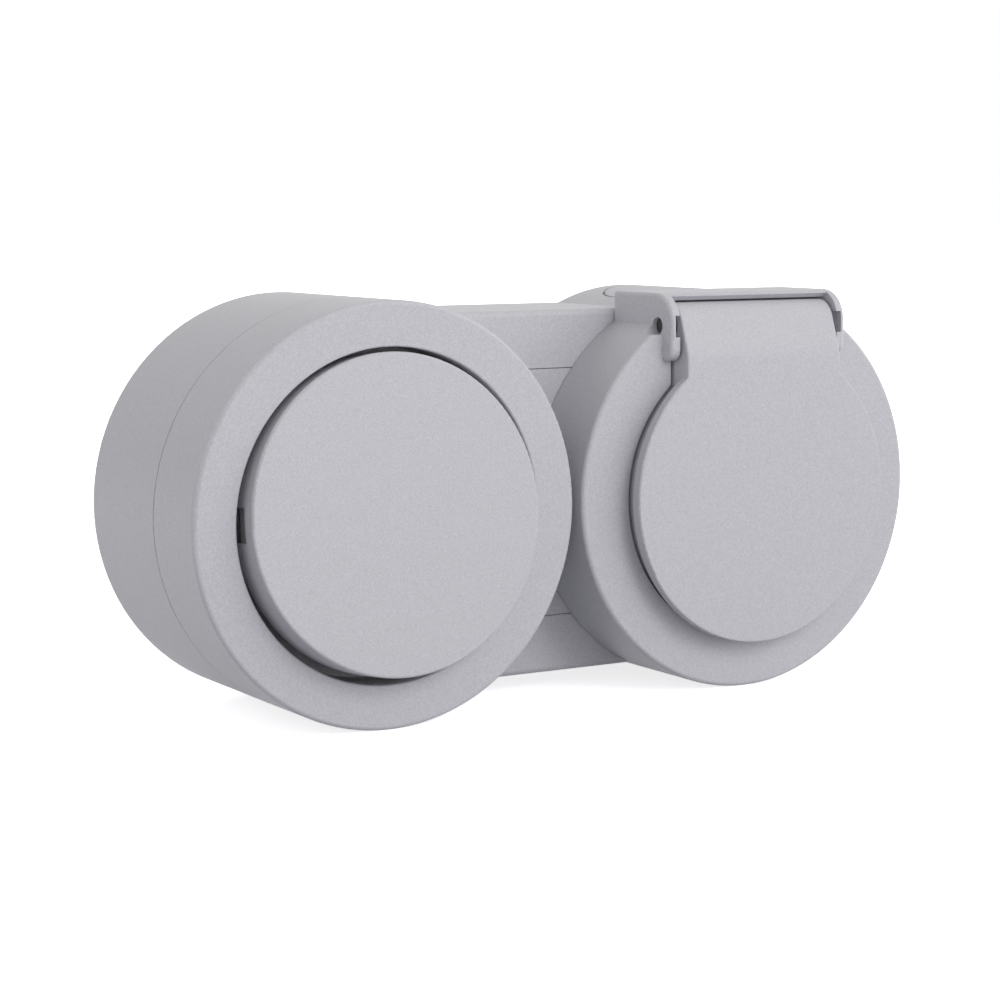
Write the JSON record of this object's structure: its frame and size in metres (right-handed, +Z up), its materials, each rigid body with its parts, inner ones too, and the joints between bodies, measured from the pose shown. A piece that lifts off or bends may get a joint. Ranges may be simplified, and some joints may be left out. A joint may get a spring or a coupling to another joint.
{
  "type": "outdoor weatherproof socket and rocker switch unit",
  "caption": "Surface-mounted weatherproof wall unit: a round rocker switch and a round earthed socket with a sprung hinged lid on one shared back box.",
  "frame": {"origin": "middle of the wall face, between the two round units", "axes": "+X to the right along the unit, +Y into the wall, +Z up"},
  "size_m": [0.162, 0.0524, 0.08],
  "materials": {
    "grey_plastic": "fine-grained light grey moulding",
    "inner_plastic": "plain off-white moulding",
    "black_rubber": "soft dark seal rubber",
    "zinc_steel": "zinc-plated steel",
    "spring_steel": "bright spring steel",
    "brass": "stamped contact brass"
  },
  "bodies": {
    "housing": {"back_box": "grey_plastic", "bridge_cover": "grey_plastic", "switch_cover": "grey_plastic", "switch_cover_seal": "black_rubber", "switch_cover_screws": "zinc_steel", "rocker_membrane": "black_rubber", "switch_frame": "zinc_steel", "switch_frame_screws": "zinc_steel", "switch_body": "inner_plastic", "lever_pin": "spring_steel", "fixed_contact": "brass", "line_contact": "brass", "switch_terminal_screws": "zinc_steel", "snap_spring": "spring_steel", "socket_cover": "grey_plastic", "socket_cover_seal": "black_rubber", "hinge_pin": "spring_steel", "lid_spring": "spring_steel", "socket_insert": "grey_plastic", "insert_screw": "zinc_steel", "socket_frame": "zinc_steel", "socket_frame_screws": "zinc_steel", "socket_base": "inner_plastic", "earth_clip": "brass", "live_contact": "brass", "neutral_contact": "brass", "socket_terminal_screws": "zinc_steel"},
    "lid_assembly": {"lid": "grey_plastic", "lid_seal": "black_rubber"},
    "rocker_plate": {"rocker": "grey_plastic"},
    "lever_assembly": {"contact_lever": "inner_plastic", "moving_contact": "brass"}
  },
  "joints": [
    {"name": "lid_hinge", "type": "hinge", "parent": "housing", "child": "lid_assembly", "pos_m": [0.041, -0.0442, 0.0336], "axis": [-1, 0, 0], "range_deg": [0, 85], "stiffness_Nm_per_rad": 0.008, "springref_deg": -85.94, "deforming": ["lid_spring"]},
    {"name": "rocker_tilt", "type": "hinge", "parent": "housing", "child": "rocker_plate", "pos_m": [-0.041, -0.0418, 0], "axis": [1, 0, 0], "range_deg": [0, 12], "deforming": ["rocker_membrane"]},
    {"name": "lever_tilt", "type": "hinge", "parent": "housing", "child": "lever_assembly", "pos_m": [-0.041, -0.023, 0], "axis": [1, 0, 0], "range_deg": [-16.25, 0], "deforming": ["snap_spring"]}
  ],
  "couplings": [
    {"joint": "lever_tilt", "follows": "rocker_tilt", "ratio": -1.35}
  ]
}
